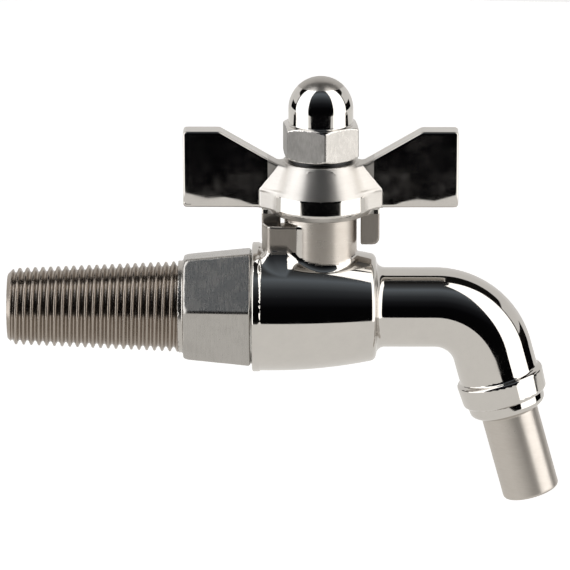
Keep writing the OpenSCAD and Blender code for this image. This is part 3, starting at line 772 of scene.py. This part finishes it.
def stage_mesh(name, corners, quads, material):
    mesh = bpy.data.meshes.new(name)
    mesh.from_pydata(corners, [], quads)
    mesh.materials.append(material)
    made = bpy.data.objects.new(name, mesh)
    bpy.context.scene.collection.objects.link(made)
    return made


def studio_card(name, colour, strength, white_to_camera):
    """A pale card that shines a little, as if evenly lit, and is plain white to the camera."""
    material, tree, out = new_material(name)
    path = add(tree, "ShaderNodeLightPath").outputs
    glow = add(tree, "ShaderNodeEmission", {"Color": paint(colour), "Strength": strength})
    surface = glow.outputs[0]
    if white_to_camera:
        lit = add(tree, "ShaderNodeBsdfDiffuse", {"Color": paint("#f2f2f2")})
        white = add(tree, "ShaderNodeEmission", {"Color": paint("#ffffff"), "Strength": 0.55})
        seen = add(tree, "ShaderNodeAddShader", {0: lit.outputs[0], 1: white.outputs[0]})
        clear = add(tree, "ShaderNodeBsdfTransparent")
        back = add(tree, "ShaderNodeNewGeometry").outputs["Backfacing"]
        seen = add(tree, "ShaderNodeMixShader", {0: back, 1: seen.outputs[0],
                                                 2: clear.outputs[0]})
        surface = add(tree, "ShaderNodeMixShader", {0: path["Is Camera Ray"], 1: surface,
                                                    2: seen.outputs[0]}).outputs[0]
    tree.links.new(surface, out.inputs["Surface"])
    return material


floor_card = studio_card("pale_floor", "#f5f3ef", 0.9, True)
stage_mesh("floor", [(-3, FLOOR_FRONT, FLOOR_Z), (3, FLOOR_FRONT, FLOOR_Z), (3, 3, FLOOR_Z),
                     (-3, 3, FLOOR_Z)], [(0, 1, 2, 3)], floor_card)
# the same floor goes on to the front for the camera, but not for the metal's reflections
floor_front = stage_mesh("floor_front", [(-3, -3, FLOOR_Z), (3, -3, FLOOR_Z),
                                         (3, FLOOR_FRONT, FLOOR_Z),
                                         (-3, FLOOR_FRONT, FLOOR_Z)],
                         [(0, 1, 2, 3)], floor_card)
floor_front.visible_glossy = False
floor_front.visible_diffuse = False

# the backdrop is a curved sheet whose two ends stand off the floor
backdrop_card = studio_card("pale_backdrop", "#f4f2ef", 0.85, False)
bearings = [math.radians(b) for b in range(-78, 79, 3)]
low = [(BACKDROP_R * math.sin(b), BACKDROP_R * math.cos(b),
        FLOOR_Z if abs(b) < math.radians(50) else 0.28) for b in bearings]
high = [(x, y, BACKDROP_R * math.tan(math.radians(max(30, 61 - 0.009 * math.degrees(b) ** 2))))
        for b, (x, y, z) in zip(bearings, low)]
count = len(bearings)
backdrop = stage_mesh("backdrop", low + high,
                      [(i, i + 1, i + 1 + count, i + count) for i in range(count - 1)],
                      backdrop_card)
backdrop.visible_camera = False


def soft_box(name, side, colour):
    """A tall soft box beside the object, whose upper part leans over it."""
    card = studio_card(name, colour, 2.0, False)
    corners, quads = [], []
    for away, height, first, last in ((1.20, -0.34, 45, 98), (1.20, 0.60, 46, 98),
                                      (0.95, 1.10, 49, 102), (0.38, 1.60, 52, 108)):
        for k in range(6):
            bearing = math.radians(first + (last - first) * k / 5)
            corners.append((STEM_X * MM + side * away * math.sin(bearing),
                            -away * math.cos(bearing), height))
    for row in range(3):
        for k in range(5):
            quads.append((row * 6 + k, row * 6 + k + 1, row * 6 + k + 7, row * 6 + k + 6))
    box = stage_mesh(name, corners, quads, card)
    box.visible_camera = False


soft_box("left_soft_box", -1, "#ffffff")
soft_box("right_soft_box", 1, "#fffdfa")

# the room in front is black, with a dim bluish glow high up that fades out on both sides
world = bpy.data.worlds.new("studio")
bpy.context.scene.world = world
world.use_nodes = True
world.node_tree.nodes.clear()
path = add(world.node_tree, "ShaderNodeLightPath").outputs
towards = add(world.node_tree, "ShaderNodeTexCoord").outputs["Generated"]
split = add(world.node_tree, "ShaderNodeSeparateXYZ", {0: towards}).outputs
ahead = add(world.node_tree, "ShaderNodeMath", {0: split["Y"], 1: -1.0}, operation="MULTIPLY")
climb = add(world.node_tree, "ShaderNodeMath", {0: split["Z"], 1: ahead.outputs[0]},
            operation="ARCTAN2")
climb = add(world.node_tree, "ShaderNodeMath", {0: climb.outputs[0], 1: math.pi},
            operation="DIVIDE")
glow = add(world.node_tree, "ShaderNodeValToRGB", {0: climb.outputs[0]})
ramp = glow.color_ramp.elements
for degrees, colour in ((0, "#060607"), (14, "#08080a"), (30, "#1b1c1f"), (46, "#383b3f"),
                        (58, "#565b60"), (66, "#666d74"), (76, "#46494c"), (90, "#232222"),
                        (104, "#151413"), (180, "#151413")):
    stop = ramp.new(degrees / 180) if 0 < degrees < 180 else ramp[0 if degrees == 0 else -1]
    stop.color = paint(colour)
dark = add(world.node_tree, "ShaderNodeBackground", {"Color": glow.outputs[0],
                                                     "Strength": 1.0})
white = add(world.node_tree, "ShaderNodeBackground", {"Color": paint("#ffffff"),
                                                      "Strength": 1.0})
mixed = add(world.node_tree, "ShaderNodeMixShader",
            {0: path["Is Camera Ray"], 1: dark.outputs[0], 2: white.outputs[0]})
add(world.node_tree, "ShaderNodeOutputWorld", {"Surface": mixed.outputs[0]})
bpy.context.scene.view_settings.view_transform = "Standard"

# The camera stands 16 degrees above the flow axis, nearly square to it, with a long lens.
ELEVATION = math.radians(15.99)
BEARING = math.radians(-0.4)
DISTANCE = 1.24
AIM = np.array([0.02395, -0.00124, 0.00567])
camera_data = bpy.data.cameras.new("camera")
camera_data.sensor_width = 36
camera_data.lens = 332.8
camera_data.clip_start = 0.05
camera = bpy.data.objects.new("camera", camera_data)
bpy.context.scene.collection.objects.link(camera)
ahead = np.array([math.sin(BEARING) * math.cos(ELEVATION),
                  math.cos(BEARING) * math.cos(ELEVATION), -math.sin(ELEVATION)])
camera.location = AIM - DISTANCE * ahead
camera.rotation_euler = (math.pi / 2 - ELEVATION, 0, -BEARING)
bpy.context.scene.camera = camera
